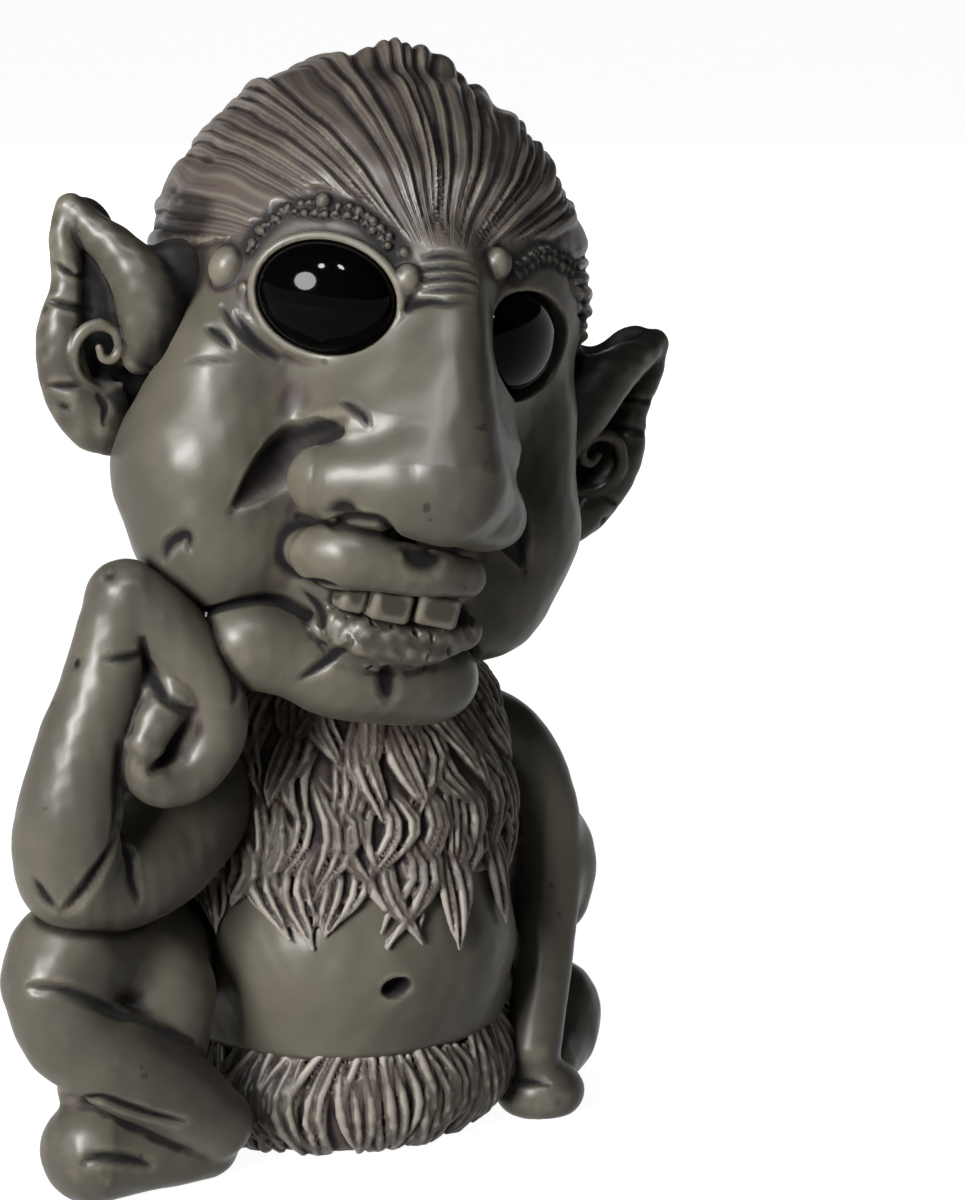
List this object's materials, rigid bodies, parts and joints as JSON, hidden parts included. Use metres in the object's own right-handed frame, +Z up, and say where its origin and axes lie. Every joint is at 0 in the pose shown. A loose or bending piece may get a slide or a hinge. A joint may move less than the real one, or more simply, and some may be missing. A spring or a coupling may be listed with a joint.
{
  "type": "resin human figure",
  "caption": "Seated folk troll ornament in cast resin, with an oversized head, glossy black eyes and body fur, resting its cheek on a bent wrist.",
  "frame": {"origin": "centre of the felt pad's underside, on the table", "axes": "+Z up; the figure sits facing -Y, and its own left hand is at +X"},
  "size_m": [0.102, 0.077, 0.1439],
  "materials": {
    "skin_resin": "satin olive-grey cast resin, with a dark red-brown wash in the recesses and a pale dry brush on the ridges",
    "fur_resin": "satin cast resin carved as locks of fur, washed darker than the skin and dry-brushed on the ridges",
    "eye_black": "gloss black",
    "felt": "dark felt"
  },
  "bodies": {
    "root": {"head": "skin_resin", "right_ear": "skin_resin", "left_ear": "skin_resin", "right_eye": "eye_black", "left_eye": "eye_black", "torso": "skin_resin", "chest_fur": "fur_resin", "hip_fur": "fur_resin", "right_arm": "skin_resin", "left_arm": "skin_resin", "right_leg": "skin_resin", "left_leg": "skin_resin", "felt_pad": "felt"}
  },
  "joints": []
}
